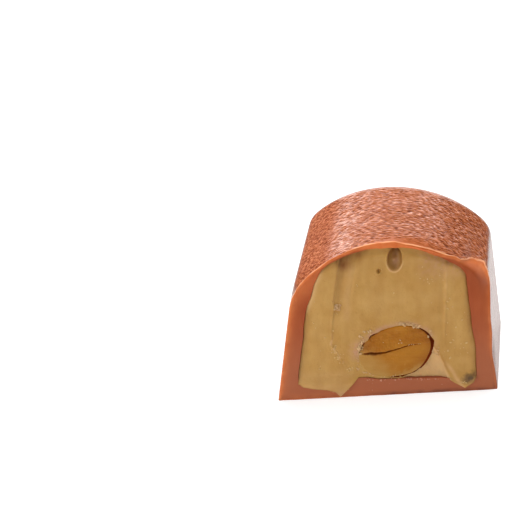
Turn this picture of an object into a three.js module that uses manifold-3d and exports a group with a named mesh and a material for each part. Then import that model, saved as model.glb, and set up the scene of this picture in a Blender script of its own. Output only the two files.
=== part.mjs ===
// A moulded chocolate praline, cut across to show its inside: a milk chocolate shell
// with a low arched top, a soft hazelnut filling and half a hazelnut kernel.
// Millimetres, +Z up. The cut face looks towards -Y and the end wall towards +Y.
import * as THREE from "three";
import { mergeVertices } from "three/addons/utils/BufferGeometryUtils.js";
import Module from "manifold-3d";

const wasm = await Module();
wasm.setup();

// Outside of the shell, as the mould gives it
const BASE_WIDTH = 26;
const SHOULDER_WIDTH = 22.4;
const SHOULDER_HEIGHT = 15.1;
const CROWN_HEIGHT = 20.6;
const SHOULDER_RADIUS = 4.5;
const END_LEAN = 0.185;
const END_EDGE_RADIUS = 0.6;

// Cut: its length from the end wall's foot, and how far the knife ran askew
const CUT_LENGTH = 19.1;
const CUT_SLANT = 0.2;

// Hollow of the shell
const BASE_THICKNESS = 2.2;
const HOLLOW_FOOT_WIDTH = 21.1;
const HOLLOW_SHOULDER_WIDTH = 17.1;
const HOLLOW_SHOULDER_HEIGHT = 17.5;
const HOLLOW_CROWN_HEIGHT = 20.05;
const HOLLOW_SHOULDER_RADIUS = 3.5;
const END_WALL_THICKNESS = 2.2;

// Clearance between two pieces that touch
const CLEARANCE = 0.25;

// Where the cut shell snapped and leans back, and its thin rim that broke behind the knife
const CHIP = { x: 11.4, z: 15.6, across: 2.8, up: 4.6, depth: 2.6 };
const RIM_SETBACK = 0.4;
const RIM_REACH = 1;

// Smears of filling that the knife pulled down over the base layer
const SMEAR_DEPTH = 0.8;
const SMEAR_OVERLAP = 1;
const SMEAR_BEND = 0.3;
const SMEARS = [
  { left: -10, right: -3.3, tip: -5.6, tipHeight: 0.7 },
  { left: 7.4, right: 10, tip: 9.2, tipHeight: 0.95 },
];

// Marks in the cut filling: a knife groove, a torn pocket beside the nut, air bubbles
const FILLING_RECESS = 0.15;
const GROOVE = { x: -5.3, halfWidth: 0.9, low: 10, high: 14.5, depth: 0.4 };
const TORN_POCKET = { x: 4.8, z: 4, across: 2, up: 2.6, depth: 0.7 };
const BUBBLES = [
  { x: 0.65, z: 18.6, size: [0.85, 0.9, 1.4] },
  { x: -1.2, z: 17.1, size: [0.35, 0.3, 0.4] },
];

// Kernel: half sizes across, into the food and up; it tips to the right as it rises
const KERNEL = { x: 0.7, z: 6, halfWidth: 4.15, halfDepth: 4.4, halfHeight: 3.55, tip: 0.2 };
const KERNEL_SETBACK = 0.5;

// Split between the two seed leaves, wide at its left end and shut at its right
const SPLIT_DEPTH = 1.4;
const SPLIT = { left: -4.2, right: 3.6, leftHeight: 6.1, middleHeight: 6.1, rightHeight: 7.15 };
const SPLIT_WIDTH = 0.5;

// Fineness of the faceted surfaces
const ARC_SEGMENTS = 11;
const EDGE_SEGMENTS = 3;
const KERNEL_SEGMENTS = [30, 20];
const BUBBLE_SEGMENTS = [14, 10];
const SHELL_CUT_GRID = [44, 34];
const FILLING_CUT_GRID = [48, 36];
const KERNEL_CUT_GRID = [1, 1];

// Reach of the stock that the cut and the base plane trim away
const TRIM = 4;

const WALL_LEAN = (BASE_WIDTH - SHOULDER_WIDTH) / 2 / SHOULDER_HEIGHT;

const chocolate = new THREE.MeshStandardMaterial({ color: 0xa55a3a, roughness: 0.42, metalness: 0 });
const hazelnutCream = new THREE.MeshStandardMaterial({ color: 0xba8d54, roughness: 0.5, metalness: 0 });
const kernelFlesh = new THREE.MeshStandardMaterial({ color: 0xa66b30, roughness: 0.45, metalness: 0 });

// Closed geometry to a solid that can be joined and cut
function solidFrom(geometry) {
  geometry.deleteAttribute("normal");
  geometry.deleteAttribute("uv");
  const merged = mergeVertices(geometry);
  return new wasm.Manifold(
    new wasm.Mesh({
      numProp: 3,
      vertProperties: new Float32Array(merged.attributes.position.array),
      triVerts: new Uint32Array(merged.index.array),
    }),
  );
}

// Finished solid to a named mesh
function meshFrom(solid, name, material) {
  const { vertProperties, triVerts } = solid.getMesh();
  const geometry = new THREE.BufferGeometry();
  geometry.setAttribute("position", new THREE.BufferAttribute(vertProperties, 3));
  geometry.setIndex(new THREE.BufferAttribute(triVerts, 1));
  geometry.computeVertexNormals();
  const mesh = new THREE.Mesh(geometry, material);
  mesh.name = name;
  return mesh;
}

// Section with a flat floor, two walls that lean in and a low arch. The shoulder is an
// arc inside both the wall and the arch, so it leaves each of them without a corner.
function archedSection({ floor, foot, shoulder, shoulderHeight, crown, shoulderRadius }) {
  const rise = crown - shoulderHeight;
  const archRadius = (shoulder ** 2 + rise ** 2) / (2 * rise);
  const archCentre = new THREE.Vector2(0, crown - archRadius);
  const lean = Math.atan2(foot - shoulder, shoulderHeight - floor);
  const up = new THREE.Vector2(-Math.sin(lean), Math.cos(lean));
  const inward = new THREE.Vector2(-Math.cos(lean), -Math.sin(lean));
  const start = new THREE.Vector2(shoulder, shoulderHeight).addScaledVector(inward, shoulderRadius);
  const offset = start.clone().sub(archCentre);
  const along = offset.dot(up);
  const reach = archRadius - shoulderRadius;
  const travel = -along + Math.sqrt(along ** 2 - offset.lengthSq() + reach ** 2);
  const turn = start.addScaledVector(up, travel);
  const meet = Math.atan2(turn.y - archCentre.y, turn.x);
  const section = new THREE.Shape();
  section.moveTo(-foot, floor);
  section.lineTo(foot, floor);
  section.absarc(turn.x, turn.y, shoulderRadius, lean, meet, false);
  section.absarc(0, archCentre.y, archRadius, meet, Math.PI - meet, false);
  section.absarc(-turn.x, turn.y, shoulderRadius, Math.PI - meet, Math.PI - lean, false);
  section.closePath();
  return section;
}

// Section drawn out along Y, past the cut, up to an end that leans in with its height
function drawnOut(section, end, edgeRadius) {
  const geometry = new THREE.ExtrudeGeometry(section, {
    depth: end + TRIM,
    curveSegments: ARC_SEGMENTS,
    bevelEnabled: edgeRadius > 0,
    bevelThickness: edgeRadius,
    bevelSize: edgeRadius,
    bevelOffset: -edgeRadius,
    bevelSegments: EDGE_SEGMENTS,
  });
  geometry.rotateX(Math.PI / 2);
  geometry.translate(0, end - edgeRadius, 0);
  geometry.applyMatrix4(new THREE.Matrix4().makeShear(0, 0, 0, 0, 0, -END_LEAN));
  return solidFrom(geometry);
}

// Outline on the cut plane, drawn out from in front of the cut to a depth behind it
function sunkInCut(outline, depth) {
  const geometry = new THREE.ExtrudeGeometry(outline, { depth: depth + TRIM, bevelEnabled: false });
  geometry.rotateX(Math.PI / 2);
  geometry.translate(0, depth, 0);
  geometry.applyMatrix4(new THREE.Matrix4().makeShear(CUT_SLANT, 0, 0, 0, 0, 0));
  return solidFrom(geometry);
}

// Block of all that stands on the base plane behind a cut surface y = surface(x, z)
function behindCut(surface, [columns, rows]) {
  const width = BASE_WIDTH + TRIM;
  const height = CROWN_HEIGHT + TRIM;
  const geometry = new THREE.BoxGeometry(width, 1, height, columns, 1, rows);
  geometry.translate(0, 0, height / 2);
  const position = geometry.attributes.position;
  for (let i = 0; i < position.count; i += 1) {
    const x = position.getX(i);
    const z = position.getZ(i);
    const near = position.getY(i) < 0;
    position.setY(i, near ? surface(x, z) : CUT_LENGTH + TRIM);
  }
  return solidFrom(geometry);
}

// Rounded dip that is 1 at its centre and runs out at its reach across and up
function dip({ x, z, across, up }, atX, atZ) {
  const share = Math.min(1, Math.hypot((atX - x) / across, (atZ - z) / up));
  return (1 - share ** 2) ** 2;
}

const knifePlane = (x) => CUT_SLANT * x;

// Cut of the shell: flat but for the snapped side and the thin rim at the crown
function shellCut(x, z) {
  const rim = THREE.MathUtils.smoothstep(z, HOLLOW_CROWN_HEIGHT - RIM_REACH, CROWN_HEIGHT);
  return knifePlane(x) + CHIP.depth * dip(CHIP, x, z) + RIM_SETBACK * rim;
}

// Cut of the filling: a little sunk, with the knife's groove and the torn pocket
function fillingCut(x, z) {
  const across = Math.min(1, Math.abs(x - GROOVE.x) / GROOVE.halfWidth);
  const groove = (1 - across ** 2) * THREE.MathUtils.smoothstep(z, GROOVE.low, GROOVE.high);
  const torn = TORN_POCKET.depth * dip(TORN_POCKET, x, z);
  return knifePlane(x) + FILLING_RECESS + GROOVE.depth * groove + torn;
}

// Stock of the shell before it is hollowed and cut, reaching below the base plane
function shellStock() {
  const section = archedSection({
    floor: -TRIM,
    foot: BASE_WIDTH / 2 + WALL_LEAN * TRIM,
    shoulder: SHOULDER_WIDTH / 2,
    shoulderHeight: SHOULDER_HEIGHT,
    crown: CROWN_HEIGHT,
    shoulderRadius: SHOULDER_RADIUS,
  });
  return drawnOut(section, CUT_LENGTH, END_EDGE_RADIUS);
}

// Hollow of the shell, made smaller all round by an inset
function hollow(inset) {
  const section = archedSection({
    floor: BASE_THICKNESS + inset,
    foot: HOLLOW_FOOT_WIDTH / 2 - inset,
    shoulder: HOLLOW_SHOULDER_WIDTH / 2 - inset,
    shoulderHeight: HOLLOW_SHOULDER_HEIGHT - inset,
    crown: HOLLOW_CROWN_HEIGHT - inset,
    shoulderRadius: HOLLOW_SHOULDER_RADIUS - inset,
  });
  return drawnOut(section, CUT_LENGTH - END_WALL_THICKNESS - inset, 0);
}

// One smear below the hollow's floor, made larger all round by a margin
function smear({ left, right, tip, tipHeight }, margin) {
  const top = BASE_THICKNESS + SMEAR_OVERLAP;
  const shoulder = BASE_THICKNESS - margin;
  const low = tipHeight - margin;
  const bend = (shoulder + low) / 2;
  const outline = new THREE.Shape();
  outline.moveTo(left - margin, top);
  outline.lineTo(left - margin, shoulder);
  outline.quadraticCurveTo((left + tip) / 2, bend, tip, low);
  outline.quadraticCurveTo(tip + SMEAR_BEND * (right - tip), bend, right + margin, shoulder);
  outline.lineTo(right + margin, top);
  outline.closePath();
  return sunkInCut(outline, SMEAR_DEPTH + margin);
}

// Whole kernel, made larger all round by a margin
function wholeKernel(margin) {
  const geometry = new THREE.SphereGeometry(1, ...KERNEL_SEGMENTS);
  geometry.scale(KERNEL.halfWidth + margin, KERNEL.halfHeight + margin, KERNEL.halfDepth + margin);
  geometry.rotateX(Math.PI / 2);
  geometry.applyMatrix4(new THREE.Matrix4().makeShear(CUT_SLANT, 0, 0, 0, KERNEL.tip, 0));
  geometry.translate(KERNEL.x, knifePlane(KERNEL.x) + KERNEL_SETBACK, KERNEL.z);
  return solidFrom(geometry);
}

// Wedge between the seed leaves: two bowed edges that meet at the right end
function splitWedge() {
  const { left, right, leftHeight, middleHeight, rightHeight } = SPLIT;
  const outline = new THREE.Shape();
  outline.moveTo(left, leftHeight + SPLIT_WIDTH / 2);
  outline.lineTo(left, leftHeight - SPLIT_WIDTH / 2);
  outline.quadraticCurveTo(0, middleHeight - SPLIT_WIDTH / 2, right, rightHeight);
  outline.quadraticCurveTo(0, middleHeight + SPLIT_WIDTH / 2, left, leftHeight + SPLIT_WIDTH / 2);
  return sunkInCut(outline, SPLIT_DEPTH);
}

// Air bubble that the knife opened
function bubble({ x, z, size }) {
  const geometry = new THREE.SphereGeometry(1, ...BUBBLE_SEGMENTS);
  geometry.scale(...size);
  geometry.translate(x, fillingCut(x, z), z);
  return solidFrom(geometry);
}

function makeShell() {
  const space = SMEARS.reduce((sum, each) => sum.add(smear(each, CLEARANCE)), hollow(0));
  const walls = shellStock().subtract(space);
  return meshFrom(walls.intersect(behindCut(shellCut, SHELL_CUT_GRID)), "shell", chocolate);
}

function makeFilling() {
  const body = SMEARS.reduce((sum, each) => sum.add(smear(each, 0)), hollow(CLEARANCE));
  const cut = body.intersect(behindCut(fillingCut, FILLING_CUT_GRID));
  const opened = BUBBLES.reduce((rest, each) => rest.subtract(bubble(each)), cut);
  return meshFrom(opened.subtract(wholeKernel(CLEARANCE)), "filling", hazelnutCream);
}

function makeNut() {
  const half = wholeKernel(0).intersect(behindCut(knifePlane, KERNEL_CUT_GRID));
  return meshFrom(half.subtract(splitWedge()), "nut", kernelFlesh);
}

const praline = new THREE.Group();
praline.add(makeShell(), makeFilling(), makeNut());

// The origin is under the middle of the praline's box
const nearCorner = knifePlane(-BASE_WIDTH / 2);
praline.position.y = -(nearCorner + CUT_LENGTH) / 2;

export default praline;
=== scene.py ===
import math

import bpy
import numpy as np
from mathutils import Matrix, Vector, noise


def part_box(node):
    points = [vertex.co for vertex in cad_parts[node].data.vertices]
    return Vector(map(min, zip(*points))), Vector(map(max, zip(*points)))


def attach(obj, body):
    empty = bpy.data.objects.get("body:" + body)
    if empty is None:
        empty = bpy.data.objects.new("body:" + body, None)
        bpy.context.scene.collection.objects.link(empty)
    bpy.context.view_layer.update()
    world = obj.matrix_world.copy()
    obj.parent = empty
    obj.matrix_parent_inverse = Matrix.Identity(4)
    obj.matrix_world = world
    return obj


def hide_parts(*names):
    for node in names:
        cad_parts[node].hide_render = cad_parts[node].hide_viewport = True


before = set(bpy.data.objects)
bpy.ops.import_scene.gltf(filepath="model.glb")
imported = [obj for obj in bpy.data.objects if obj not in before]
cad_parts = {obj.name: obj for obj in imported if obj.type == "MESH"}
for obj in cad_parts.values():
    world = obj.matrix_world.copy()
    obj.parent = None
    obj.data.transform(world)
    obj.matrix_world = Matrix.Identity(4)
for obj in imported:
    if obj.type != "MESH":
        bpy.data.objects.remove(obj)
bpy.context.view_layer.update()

# Shell
# Milk chocolate cast in a polished mould with a leather grain on its crown, drained, filled and closed with
# a flat base of the same chocolate. A knife cut it across, a little askew, and the right shoulder snapped.

MM = 0.001
shell_low, shell_high = (np.array(corner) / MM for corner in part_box("shell"))
BASE_HALF = shell_high[0]
CROWN = shell_high[2]
SHOULDER_HALF = 11.2
SHOULDER_HEIGHT = 15.1
SHOULDER_RADIUS = 4.5
OUTER_STEPS = (40, 14, 18, 160)
CUT_SLANT = 0.2
CUT_MIDDLE = shell_low[1] + CUT_SLANT * BASE_HALF
CUT_EDGE = 0.2
CUT_RINGS = 15
END_FOOT = shell_high[1] - CUT_MIDDLE
END_LEAN = 0.185
END_ROUND = 0.6
END_WALL = 2.2
END_MIDDLE = np.array((0, 9.0))
SHARP_ANGLE = math.radians(70)

HOLLOW_FLOOR = 2.2
HOLLOW_FOOT = 10.55
HOLLOW_SHOULDER = 8.55
HOLLOW_SHOULDER_HEIGHT = 17.5
HOLLOW_SHOULDER_RADIUS = 3.5
HOLLOW_CROWN = 20.05
BASE_TOP_X = (-10.6, -6.0, -3.6, -2.9, -1.2, 2.5, 5.0, 7.5, 10.6)
BASE_TOP_Z = (2.2, 2.2, 2.6, 2.65, 2.25, 2.2, 2.05, 1.9, 2.0)

BEARING_HEIGHT = 10.0
HOLLOW_TURN = (-37, -28, -18, -9, 0, 35, 40, 44, 49, 56, 61, 66, 71,
               89, 107, 125, 131, 143, 148, 156, 164, 178, 190, 210, 216)
HOLLOW_PUSH = (-0.13, 0.04, 0.15, 0.0, 0.04, 0.0, -0.22, -0.4, -0.58, -0.44, -0.4, -0.2, -0.13,
               -0.12, 0.05, 0.05, -0.13, -0.35, -0.16, 0.0, 0.28, 0.39, 0.22, 0.2, 0.12)
WORN_TURN = (-40, -32, -22, -10, 0, 12, 21, 29, 38, 48, 54,
             62, 71, 80, 87, 128, 134, 141, 149, 157, 165)
WORN_DEPTH = (0.0, 0.05, 0.25, 0.0, 0.0, -0.18, -0.26, -0.24, -0.06, 0.0, 0.25,
              0.32, 0.36, 0.28, 0.0, 0.0, 0.16, 0.17, 0.29, 0.28, 0.0)
WORN_REACH = 1.0
SNAP_TURN = (10, 17, 23, 28, 31, 35, 41, 45)
SNAP_DEPTH = (0.0, 0.7, 2.1, 2.75, 2.75, 2.2, 0.7, 0.0)
SNAP_WIDTH = 1.8
RIM_SETBACK = 0.4
RIM_START = 19.05

GRAIN_PITCH = 0.165
GRAIN_LENGTH = 0.62
GRAIN_HEIGHT = 0.08
GRAIN_DOT = 0.2
GRAIN_ROWS = 330
GRAIN_FROM_WALL = (0.6, 2.0)
GRAIN_FROM_END = (0.7, 1.2)
CROWN_FROM_END = (0.3, 1.2)
DEEPER_GRAIN = 0.7
DEEPER_GRAIN_X = (3.0, 9.0)
DOTTED_SHARE = 0.6
DOTTED_X = (-6.2, -8.2)
DOTTED_Z = (13.8, 15.0)
LIP_WIDTH = 0.3
LIP_SWELL = 1.1
LIP_SWELL_X = 1.4
LIP_SWELL_REACH = 2.6

# Layers of unevenness: the height, the size of the lumps and the pattern of each.
CUT_ROUGHNESS = ((0.05, 1.4, 0.4), (0.025, 0.45, 2.4))
CUT_STREAKS = ((0.02, (0.25, 3.0, 1.0), 4.4),)
HOLLOW_ROUGHNESS = ((0.05, 1.8, 6.6), (0.04, 0.6, 1.6))
SNAP_JAGS = ((0.3, 1.6, 18.0), (0.2, 0.55, 19.0))
GRAIN_SWAY = ((0.13, 1.7, 8.2),)
GRAIN_PATCHES = ((0.35, 2.4, 12.5),)


def smooth(low, high, value):
    """Eased step from 0 at low to 1 at high."""
    share = np.clip((value - low) / (high - low), 0, 1)
    return share * share * (3 - 2 * share)


def window(value, start, full, fade, end):
    """Eased window: 0 up to start and beyond end, 1 from full to fade."""
    return smooth(start, full, value) * smooth(end, fade, value)


def bell(distance, width):
    """Soft ridge, 1 at no distance and fading out over about twice the width."""
    return np.exp(-(distance / width)**2)


def rough(size, x, y, z):
    """Smooth noise, about -1 to 1, in lumps of a size. On a face the third place picks the pattern."""
    axes = np.broadcast_arrays(x, y, z)
    places = np.stack([axis.ravel() for axis in axes], 1) / size
    return np.array([noise.noise(place) for place in places.tolist()]).reshape(axes[0].shape)


def lumpy(x, z, layers):
    """Sum of layers of noise over a face."""
    return sum(height * rough(size, x, z, pattern) for height, size, pattern in layers)


def leather(around, along, dotted):
    """Height, about -1 to 1, of the mould's wrinkles on the crown, with short dots on its left."""
    around, along = np.broadcast_arrays(around, along)
    swayed = along + lumpy(around, along, GRAIN_SWAY)
    lengthwise = around / GRAIN_LENGTH
    crosswise = swayed / GRAIN_PITCH
    ridges = 1.1 * rough(1.0, lengthwise, crosswise, 3.1)
    ridges += 0.7 * rough(1.0, 1.8 * lengthwise, 1.4 * crosswise, 7.7)
    dots = 1.3 * rough(GRAIN_DOT, around, swayed, 5.3)
    ridges += dotted * (dots - ridges)
    return ridges * (1 + lumpy(around, along, GRAIN_PATCHES))


def arched_outline(floor, foot, shoulder, shoulder_height, crown, radius, steps):
    """Loop of x, z and its outward normals: floor, right wall, shoulder, arch, left shoulder, left wall."""
    rise = crown - shoulder_height
    arch_radius = (shoulder**2 + rise**2) / (2 * rise)
    arch_centre = np.array([0, crown - arch_radius])
    lean = math.atan2(foot - shoulder, shoulder_height - floor)
    side = np.array([math.cos(lean), math.sin(lean)])
    up = np.array([-side[1], side[0]])
    start = np.array([shoulder, shoulder_height]) - radius * side
    offset = start - arch_centre
    along = offset @ up
    travel = -along + math.sqrt(along**2 - offset @ offset + (arch_radius - radius)**2)
    turn = start + travel * up
    meet = math.atan2(turn[1] - arch_centre[1], turn[0])
    mirror = np.array([-1, 1])

    def straight(first, last, normal, count):
        share = (np.arange(count) / count)[:, None]
        return first + (last - first) * share, np.tile(normal, (count, 1))

    def arc(centre, reach, first, last, count):
        angle = first + (last - first) * np.arange(count) / count
        normal = np.stack([np.cos(angle), np.sin(angle)], 1)
        return centre + reach * normal, normal

    low_right = np.array([foot, floor])
    high_right = turn + radius * side
    floor_steps, wall_steps, shoulder_steps, arch_steps = steps
    stretches = [
        straight(low_right * mirror, low_right, np.array([0, -1]), floor_steps),
        straight(low_right, high_right, side, wall_steps),
        arc(turn, radius, lean, meet, shoulder_steps),
        arc(arch_centre, arch_radius, meet, math.pi - meet, arch_steps),
        arc(turn * mirror, radius, math.pi - meet, math.pi - lean, shoulder_steps),
        straight(high_right * mirror, low_right * mirror, side * mirror, wall_steps),
    ]
    return tuple(np.concatenate(column) for column in zip(*stretches))


def knife(x):
    """How far back the blade passed at each place across."""
    return CUT_SLANT * x


def turn_of(x, z):
    """Bearing of a place on the cut in degrees, from the right over the crown to the left."""
    return np.mod(np.degrees(np.arctan2(z - BEARING_HEIGHT, x)) + 90, 360) - 90


def snapped(x, z, inward):
    """How far back the right shoulder's edge snapped off, at a distance in from the moulded skin."""
    depth = np.interp(turn_of(x, z), SNAP_TURN, SNAP_DEPTH) * (1 + lumpy(x, z, SNAP_JAGS))
    return depth * np.clip(1 - inward / SNAP_WIDTH, 0, 1)**2


def shell_cut(x, z, inward=SNAP_WIDTH):
    """How far back the cut chocolate stands: the blade's plane, the snapped edge and the worn rim."""
    rim = RIM_SETBACK * smooth(RIM_START, CROWN, z)
    return knife(x) + snapped(x, z, inward) + rim + lumpy(x, z, CUT_ROUGHNESS)


def hollow_outline(steps):
    """Edge of the shell's hollow, uneven as poured chocolate is, and its outward normals."""
    edge, normals = arched_outline(
        HOLLOW_FLOOR, HOLLOW_FOOT, HOLLOW_SHOULDER, HOLLOW_SHOULDER_HEIGHT, HOLLOW_CROWN,
        HOLLOW_SHOULDER_RADIUS, steps)
    on_floor = slice(0, steps[0])
    edge[on_floor, 1] = np.interp(edge[on_floor, 0], BASE_TOP_X, BASE_TOP_Z)
    x, z = edge.T
    uneven = np.interp(turn_of(x, z), HOLLOW_TURN, HOLLOW_PUSH)
    uneven[on_floor] = 0
    uneven += lumpy(x, z, HOLLOW_ROUGHNESS)
    return edge + normals * uneven[:, None], normals


def loop(edge, depth):
    """Points of one loop from its x, z outline and its depth behind the middle of the cut."""
    return np.column_stack([edge[:, 0], np.broadcast_to(depth, len(edge)), edge[:, 1]])


def add_marks(marks, count, **values):
    """Adds one loop's row to each mark that a mesh carries for its finish."""
    for name, value in values.items():
        marks.setdefault(name, []).append(np.broadcast_to(value, count))


def skin(name, loops, marks):
    """Closed mesh over loops of equal length, with a fan over its first and its last loop."""
    count = len(loops[0])
    rings = np.arange(len(loops) * count).reshape(len(loops), count)
    ahead = np.roll(rings, -1, 1)
    quads = np.stack([rings[:-1], ahead[:-1], ahead[1:], rings[1:]], -1).reshape(-1, 4)
    first, last = rings.size, rings.size + 1
    fans = np.concatenate([
        np.column_stack([ahead[0], rings[0], np.full(count, first)]),
        np.column_stack([rings[-1], ahead[-1], np.full(count, last)]),
    ])
    points = np.concatenate([*loops, [loops[0].mean(0)], [loops[-1].mean(0)]])
    corners = np.concatenate([quads[:, :3], quads[:, [0, 2, 3]], fans])
    a, b, c = (points[corners[:, k]] for k in range(3))
    inside_out = np.einsum("ij,ij->", a, np.cross(b, c)) < 0
    faces = quads.tolist() + fans.tolist()
    if inside_out:
        faces = [face[::-1] for face in faces]
    mesh = bpy.data.meshes.new(name)
    mesh.from_pydata(((points + [0, CUT_MIDDLE, 0]) * MM).tolist(), [], faces)
    mesh.shade_smooth()
    mesh.set_sharp_from_angle(angle=SHARP_ANGLE)
    for mark, rows in marks.items():
        values = np.concatenate([*rows, [rows[0].mean(), rows[-1].mean()]])
        attribute = mesh.attributes.new(mark, "FLOAT", "POINT")
        attribute.data.foreach_set("value", values.astype(np.float32))
    piece = bpy.data.objects.new(name, mesh)
    bpy.context.scene.collection.objects.link(piece)
    return piece


outer, outward = arched_outline(
    0, BASE_HALF, SHOULDER_HALF, SHOULDER_HEIGHT, CROWN, SHOULDER_RADIUS, OUTER_STEPS)
outer_x, outer_z = outer.T
outer_turn = turn_of(*outer.T)
off_base = (np.arange(len(outer)) >= OUTER_STEPS[0]).astype(float)
# The first point, at the left foot, belongs to the left wall too.
off_base[0] = 1.0
outward[0] = outward[-1]
crown = slice(sum(OUTER_STEPS[:2]), len(outer) - OUTER_STEPS[1])
around = np.concatenate([[0], np.cumsum(np.linalg.norm(np.diff(outer, axis=0), axis=1))])[crown]
front = shell_cut(*outer.T, 0)
back = END_FOOT - END_LEAN * outer_z
worn = np.interp(outer_turn, WORN_TURN, WORN_DEPTH)

share = np.linspace(0, 1, GRAIN_ROWS)[:, None]
depths = front + CUT_EDGE + (back - END_ROUND - front - CUT_EDGE) * share
from_wall = np.minimum(around - around[0], around[-1] - around)
behind_rim = depths[:, crown] - front[crown]
before_end = back[crown] - depths[:, crown]
off_wall = smooth(*GRAIN_FROM_WALL, from_wall)
crown_zone = np.zeros(depths.shape)
crown_zone[:, crown] = off_wall * smooth(*CROWN_FROM_END, before_end)
lip_width = LIP_WIDTH + LIP_SWELL * bell(outer_x[crown] - LIP_SWELL_X, LIP_SWELL_REACH)
grain_zone = off_wall * smooth(0.1, 1.0, behind_rim / lip_width) * smooth(*GRAIN_FROM_END, before_end)
left_strip = smooth(*DOTTED_X, outer_x) * smooth(*DOTTED_Z, outer_z)
wrinkles = leather(around, depths[:, crown], DOTTED_SHARE * left_strip[crown])
grain = np.zeros(depths.shape)
grain[:, crown] = wrinkles * grain_zone * (1 + DEEPER_GRAIN * smooth(*DEEPER_GRAIN_X, outer_x[crown]))


def inset(amount):
    """Outer outline drawn in by an amount, with the base left flat."""
    drawn = outer - outward * (amount * off_base)[:, None]
    drawn[:, 1] = np.maximum(drawn[:, 1], 0)
    return drawn


# Where painted light makes the edge of the cut glow, and where a painted highlight runs along it, by
# bearing: start, full, fade and end.
SHOULDER_GLOW = (18, 28, 72, 90)
ARCH_GLOW = (40, 50, 76, 92)
LEFT_GLOW = (134, 144, 158, 176)
BRIGHT_RIGHT_EDGE = (12, 22, 108, 122)
BRIGHT_LEFT_EDGE = (126, 136, 164, 176)
BRIGHT_SNAPPED_EDGE = (17, 21, 31, 38)
THIN_WALL = (2.0, 0.9)
WALL_DULLNESS = 0.24
CUT_DULLNESS = 0.54
CROWN_DULLNESS = 0.09
STRIP_DULLNESS = 0.4

hollow, _ = hollow_outline(OUTER_STEPS)
wall_here = np.linalg.norm(outer - hollow, axis=1)
thin_wall = smooth(*THIN_WALL, wall_here)
lit_side = smooth(4.0, -9.0, outer_x) * smooth(-1.5, 1.0, outer_z)
right_edge = smooth(8.8, 10.2, outer_x) * smooth(4.0, 6.0, outer_z)
behind_lip = bell(outer_x - 2.5, 3.2) * smooth(14.0, 16.0, outer_z)
shoulder_glow = window(outer_turn, *SHOULDER_GLOW)
arch_glow = window(outer_turn, *ARCH_GLOW)
left_glow = window(outer_turn, *LEFT_GLOW)
# Painted glow along the cut's edge: strongest on the lit left side, at the right edge and shoulder, and
# where the wall is thin.
edge_light = 0.2 + 0.65 * lit_side + 0.35 * right_edge + 0.5 * shoulder_glow
edge_light = np.clip(np.maximum(thin_wall, edge_light), 0, 1)
# Painted highlight: a bright line along the outer edge of the cut and the snapped edge.
edge_line = np.maximum(window(outer_turn, *BRIGHT_RIGHT_EDGE), 0.8 * window(outer_turn, *BRIGHT_LEFT_EDGE))
edge_line *= np.clip(0.75 + 0.8 * rough(0.9, *outer.T, 28.0), 0, 1)
edge_line = np.maximum(edge_line, window(outer_turn, *BRIGHT_SNAPPED_EDGE))
snap_start = np.clip(snapped(*outer.T, 0), 0, 1)
crown_dullness = CROWN_DULLNESS + STRIP_DULLNESS * left_strip

shell_loops = []
shell_marks = {}


def add_shell_loop(edge, depth, cut, thin, ridge=0.5, on_crown=0, matt=0, line=0):
    """Adds a loop to the shell, with marks for its finish, its painted light and its painted shade."""
    x, z = edge.T
    # Painted shade along the foot of the cut, patchy and darker towards the table.
    smudged = np.clip(0.55 + 0.9 * rough(1.2, x, z, 36.0), 0, 1)
    moulded_dullness = WALL_DULLNESS + crown_dullness * on_crown
    shell_loops.append(loop(edge, depth))
    add_marks(shell_marks, len(edge), cut=cut, thin=thin, ridge=ridge, crown=on_crown, line=line,
              dull=moulded_dullness * (1 - cut) + CUT_DULLNESS * cut + matt,
              pink=cut * smooth(13.0, 2.0, z), foot=cut * smooth(0.65, 0.1, z) * smudged)


end_edge = inset(END_ROUND)
for part in (0.12, 0.4, 0.7, 0.97):
    spoke = END_MIDDLE + (end_edge - END_MIDDLE) * part
    add_shell_loop(spoke, END_FOOT - END_LEAN * spoke[:, 1], 0, 0)
for angle in np.linspace(math.pi / 2, 0.2, 7):
    drawn = inset(END_ROUND * (1 - math.cos(angle)))
    add_shell_loop(drawn, back - END_ROUND * off_base * (1 - math.sin(angle)), 0, 0)
for row in range(GRAIN_ROWS - 1, -1, -1):
    behind = depths[row] - front
    soft_lip = behind_lip * smooth(1.9, 0.5, behind)
    # Painted glow on the rim's lip, behind the rim and at the snapped edge, and painted highlights on grain
    # tops along the left strip.
    lip = np.maximum(thin_wall, 0.6 * snap_start) * smooth(0.45, 0.1, behind)
    lip = np.maximum(lip, 0.4 * soft_lip)
    lip = np.maximum(lip, 0.15 * left_strip * smooth(0.1, 0.5, grain[row]))
    lift = GRAIN_HEIGHT * grain[row] - worn * bell(behind, WORN_REACH)
    # Painted light and shade on the grain: lighter on its ridges and darker in its grooves; also darker on
    # the smooth lip behind the rim and along the left strip.
    ridge = 0.5 + 0.9 * grain[row] * (1 + 0.5 * left_strip) - 0.15 * left_strip - 0.2 * soft_lip
    ridge = np.clip(ridge, 0, 1)
    matt = 0.3 * soft_lip + 0.32 * smooth(0.45, 0.1, ridge) * crown_zone[row]
    add_shell_loop(outer + outward * (lift * off_base)[:, None], depths[row], 0, lip, ridge,
                   crown_zone[row], matt, edge_line * (row == 0))
for angle in (0.3, 0.6, 0.9, 1.2, math.pi / 2):
    inward = CUT_EDGE * (1 - math.cos(angle))
    depth = shell_cut(*outer.T, inward) + CUT_EDGE * (1 - math.sin(angle))
    add_shell_loop(inset(inward + worn), depth, math.sin(angle), edge_light, line=edge_line * (angle < 0.8))
cut_start = inset(CUT_EDGE + worn)
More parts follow.
